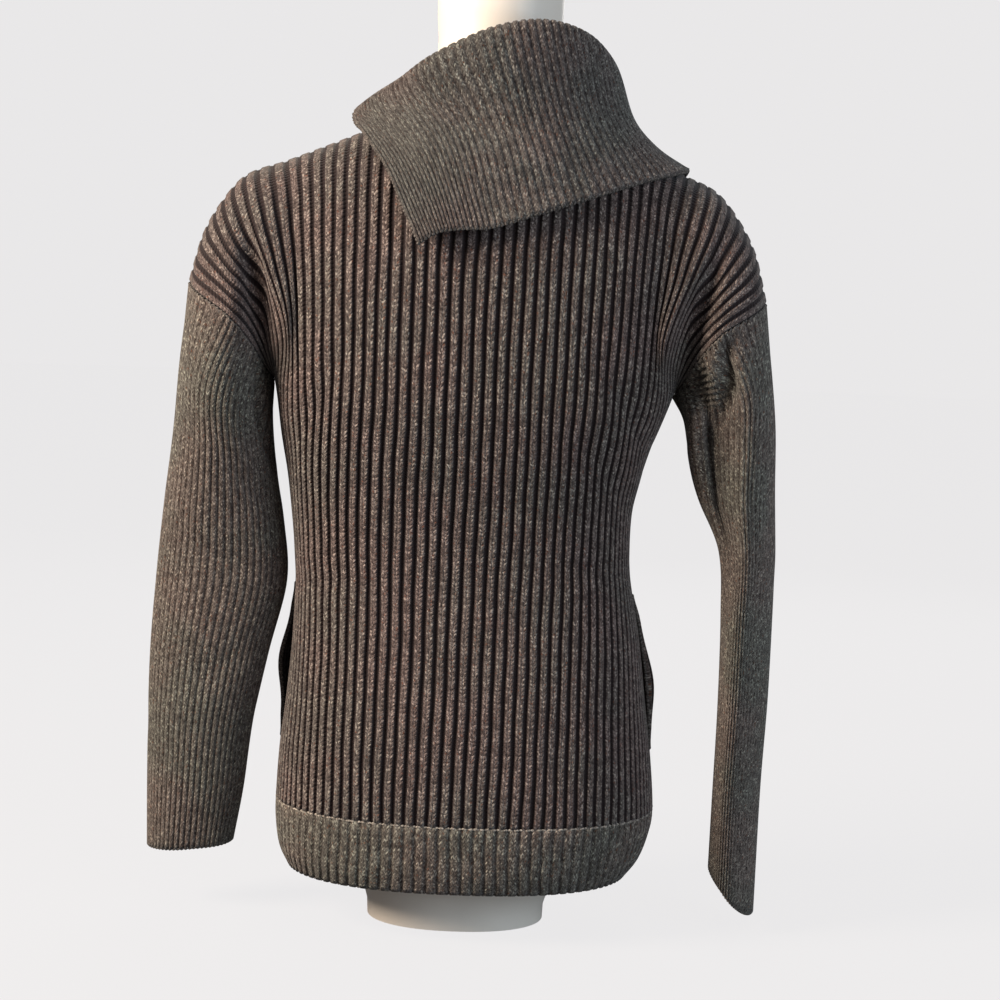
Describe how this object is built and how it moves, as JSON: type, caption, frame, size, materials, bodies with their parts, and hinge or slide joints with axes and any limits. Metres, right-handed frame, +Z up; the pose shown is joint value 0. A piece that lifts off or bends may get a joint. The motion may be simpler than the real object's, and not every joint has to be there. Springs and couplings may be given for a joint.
{
  "type": "ribbed turtleneck sweater on a dress form",
  "caption": "Chunky ribbed turtleneck sweater with dropped shoulders, a split fold-over collar, hem band and side pockets, filled out on a limbless dress form.",
  "frame": {"origin": "the middle of the dress form's flat base, which rests on the surface at Z = 0", "axes": "+Z up the sweater from the base, +X to the right as seen from behind the sweater, -Y out of the sweater's back"},
  "size_m": [0.5513, 0.2699, 0.82],
  "materials": {
    "body_knit": "two-tone fisherman rib in a marled grey-brown wool with near-black grooves",
    "fine_knit": "fine rib in a marled, flecked grey-brown wool",
    "form_shell": "glossy cream white"
  },
  "bodies": {
    "root": {"back_panel": "body_knit", "front_panel": "body_knit", "hem_band_back": "fine_knit", "hem_band_front": "fine_knit", "sleeve_left": "fine_knit", "sleeve_right": "fine_knit", "collar": "fine_knit", "pocket_left": "body_knit", "pocket_right": "body_knit", "dress_form": "form_shell"}
  },
  "joints": []
}
